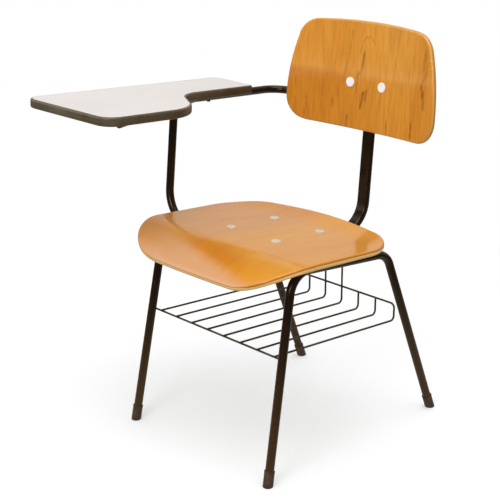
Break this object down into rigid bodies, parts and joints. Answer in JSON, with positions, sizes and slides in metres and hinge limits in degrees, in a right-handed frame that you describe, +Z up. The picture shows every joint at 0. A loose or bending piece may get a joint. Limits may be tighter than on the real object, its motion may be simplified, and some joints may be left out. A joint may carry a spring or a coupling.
{
  "type": "tablet arm chair",
  "caption": "Tablet-arm school chair: bent steel tube frame, moulded plywood seat and back, laminated writing tablet and wire book basket.",
  "frame": {"origin": "on the floor, under the middle of the whole chair's box seen from above", "axes": "+Z up, -Y the way the sitter faces, +X the sitter's left; the tablet is on the -X side"},
  "size_m": [0.6596, 0.7038, 0.8874],
  "materials": {
    "frame_paint": "dark brown-black gloss enamel on steel tube",
    "basket_wire": "dark brown gloss enamel on steel wire",
    "seat_plywood": "honey-coloured face veneer under satin lacquer",
    "back_plywood": "honey-coloured face veneer under satin lacquer, grain upright",
    "rivet": "off-white enamel, slightly domed",
    "tablet_core": "chipboard",
    "laminate": "pale grey satin laminate",
    "backing": "brown backing sheet",
    "edge_band": "dark brown extruded edge band",
    "tip_plastic": "dark brown moulded plastic",
    "screw": "zinc-plated pan-head screws"
  },
  "bodies": {
    "root": {"arm_tube": "frame_paint", "arm_tube_plug": "tip_plastic", "back_plate": "frame_paint", "back_rivets": "rivet", "back_spine": "frame_paint", "backrest_shell": "back_plywood", "basket_front_wire": "basket_wire", "basket_hanger_plate": "frame_paint", "basket_long_wire_1": "basket_wire", "basket_long_wire_2": "basket_wire", "basket_long_wire_3": "basket_wire", "basket_long_wire_4": "basket_wire", "basket_long_wire_5": "basket_wire", "basket_long_wire_6": "basket_wire", "basket_rim_wire": "basket_wire", "front_cross_tube": "frame_paint", "front_left_foot_tip": "tip_plastic", "front_right_foot_tip": "tip_plastic", "left_side_frame": "frame_paint", "rear_cross_tube": "frame_paint", "rear_left_foot_tip": "tip_plastic", "rear_right_foot_tip": "tip_plastic", "right_side_frame": "frame_paint", "seat_rivets": "rivet", "seat_shell": "seat_plywood", "spine_front_plug": "tip_plastic", "spine_top_plug": "tip_plastic", "tablet_backing": "backing", "tablet_board": "tablet_core", "tablet_edge_band": "edge_band", "tablet_laminate": "laminate", "tablet_screws": "screw", "tablet_support_plug": "tip_plastic", "tablet_support_tube": "frame_paint"}
  },
  "joints": []
}
